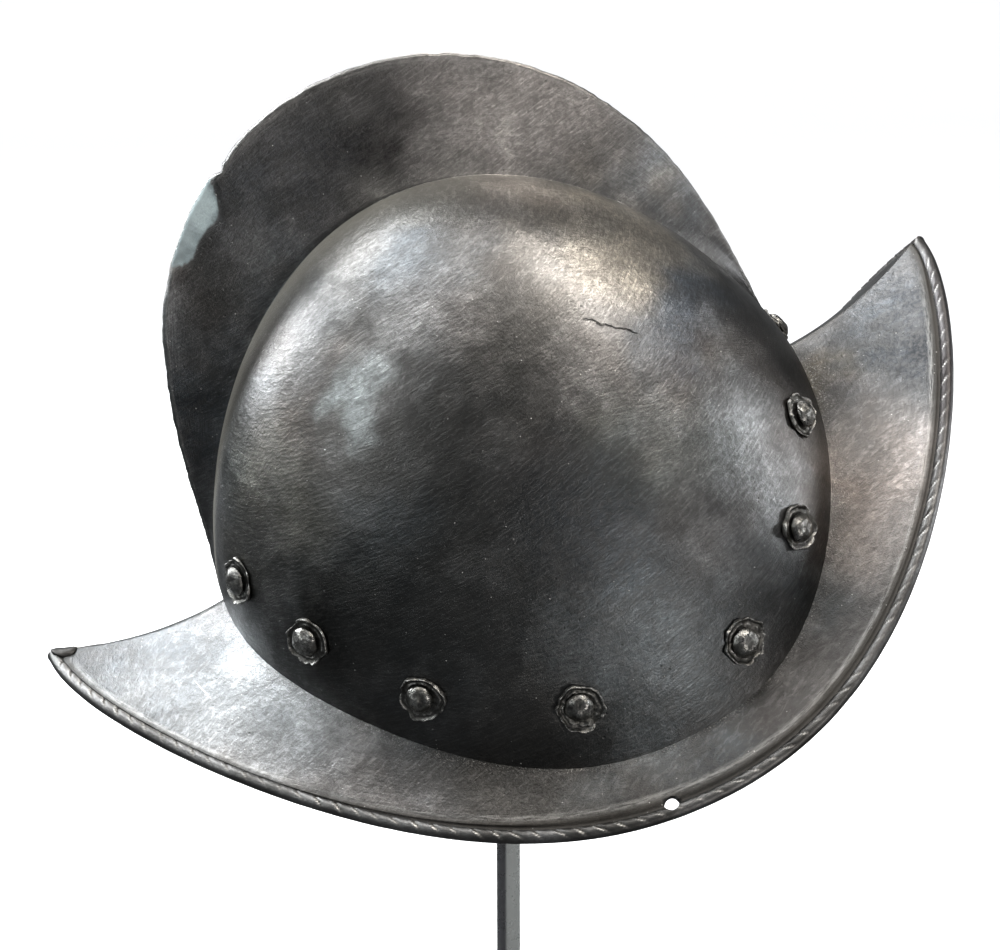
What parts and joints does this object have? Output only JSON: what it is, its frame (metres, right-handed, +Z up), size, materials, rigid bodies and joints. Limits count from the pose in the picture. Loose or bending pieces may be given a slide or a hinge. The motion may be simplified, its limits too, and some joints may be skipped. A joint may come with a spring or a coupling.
{
  "type": "comb morion helmet on a display stand",
  "caption": "Steel comb morion with a round skull, a tall comb, a boat-shaped brim with turned rim and riveted rosettes, tipped up on a plain round-based display stand.",
  "frame": {"origin": "centre of the underside of the stand's round base, under the axis of its post, on the surface that it stands on", "axes": "+X towards the helmet's raised front peak, +Y towards the helmet's other side, +Z up along the post. The XZ plane is the helmet's median plane."},
  "size_m": [0.3199, 0.2334, 0.3986],
  "materials": {
    "plate_steel": "dark patinated steel plate, hand polished, with fine pits",
    "washer_iron": "dark beaten sheet",
    "rivet_iron": "worn hammered iron",
    "stand_black": "satin black"
  },
  "bodies": {
    "root": {"helmet_shell": "plate_steel", "rosette_01": "washer_iron", "rosette_02": "washer_iron", "rosette_03": "washer_iron", "rosette_04": "washer_iron", "rosette_05": "washer_iron", "rosette_06": "washer_iron", "rosette_07": "washer_iron", "rosette_08": "washer_iron", "rosette_09": "washer_iron", "rosette_10": "washer_iron", "rosette_11": "washer_iron", "rosette_12": "washer_iron", "rosette_13": "washer_iron", "rosette_14": "washer_iron", "rosette_15": "washer_iron", "rivet_01": "rivet_iron", "rivet_02": "rivet_iron", "rivet_03": "rivet_iron", "rivet_04": "rivet_iron", "rivet_05": "rivet_iron", "rivet_06": "rivet_iron", "rivet_07": "rivet_iron", "rivet_08": "rivet_iron", "rivet_09": "rivet_iron", "rivet_10": "rivet_iron", "rivet_11": "rivet_iron", "rivet_12": "rivet_iron", "rivet_13": "rivet_iron", "rivet_14": "rivet_iron", "rivet_15": "rivet_iron", "display_stand": "stand_black"}
  },
  "joints": []
}
